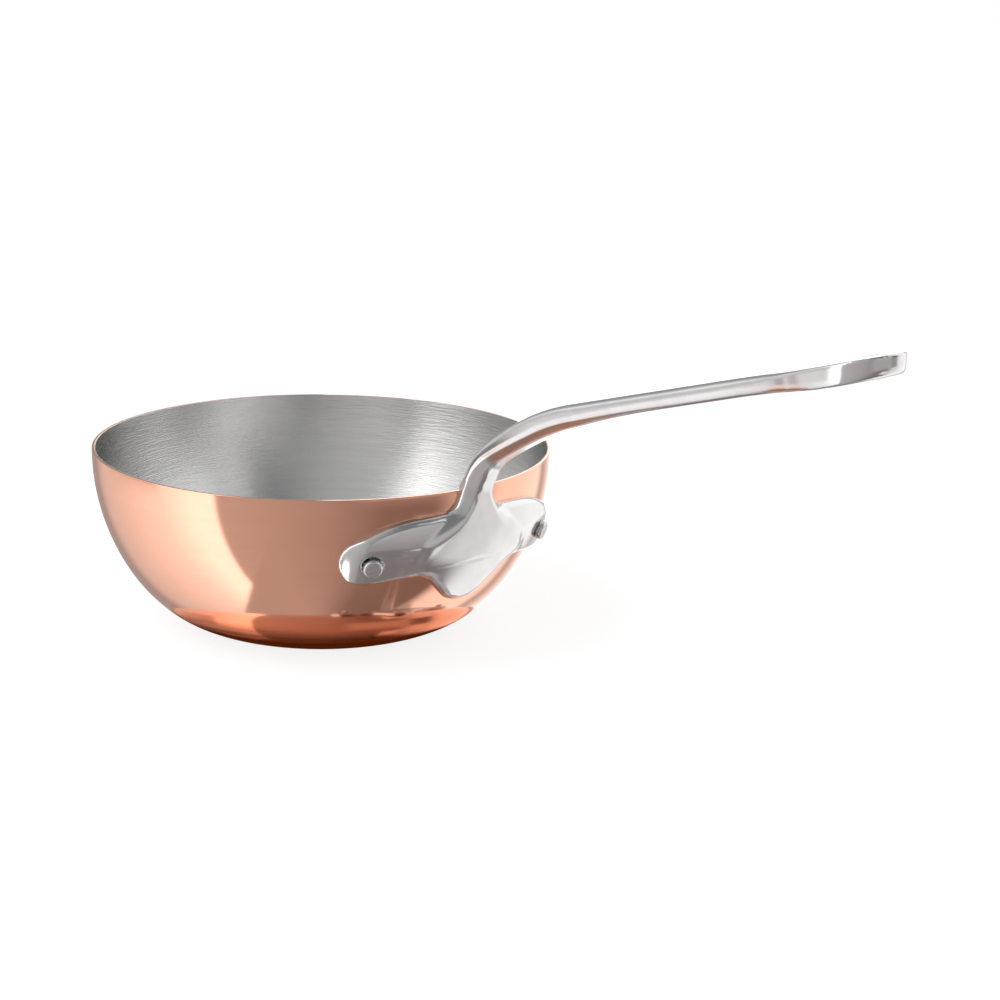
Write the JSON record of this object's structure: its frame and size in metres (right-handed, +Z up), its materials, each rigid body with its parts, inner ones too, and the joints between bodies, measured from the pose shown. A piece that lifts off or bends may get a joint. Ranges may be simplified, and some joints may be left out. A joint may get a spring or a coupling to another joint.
{
  "type": "saucier pan",
  "caption": "Round-sided saucier pan: copper bowl with a thin steel lining and a long cast steel handle riveted to the wall.",
  "frame": {"origin": "centre of the flat base, on the surface the pan stands on", "axes": "+X along the handle away from the bowl, +Y across the handle, +Z up"},
  "size_m": [0.403, 0.2, 0.1647],
  "materials": {
    "copper": "polished copper",
    "lining_steel": "brushed round the bowl",
    "cast_steel": "polished casting",
    "rivet_steel": "polished"
  },
  "bodies": {
    "root": {"copper_shell": "copper", "steel_lining": "lining_steel", "handle": "cast_steel", "rivet_left": "rivet_steel", "rivet_right": "rivet_steel"}
  },
  "joints": []
}
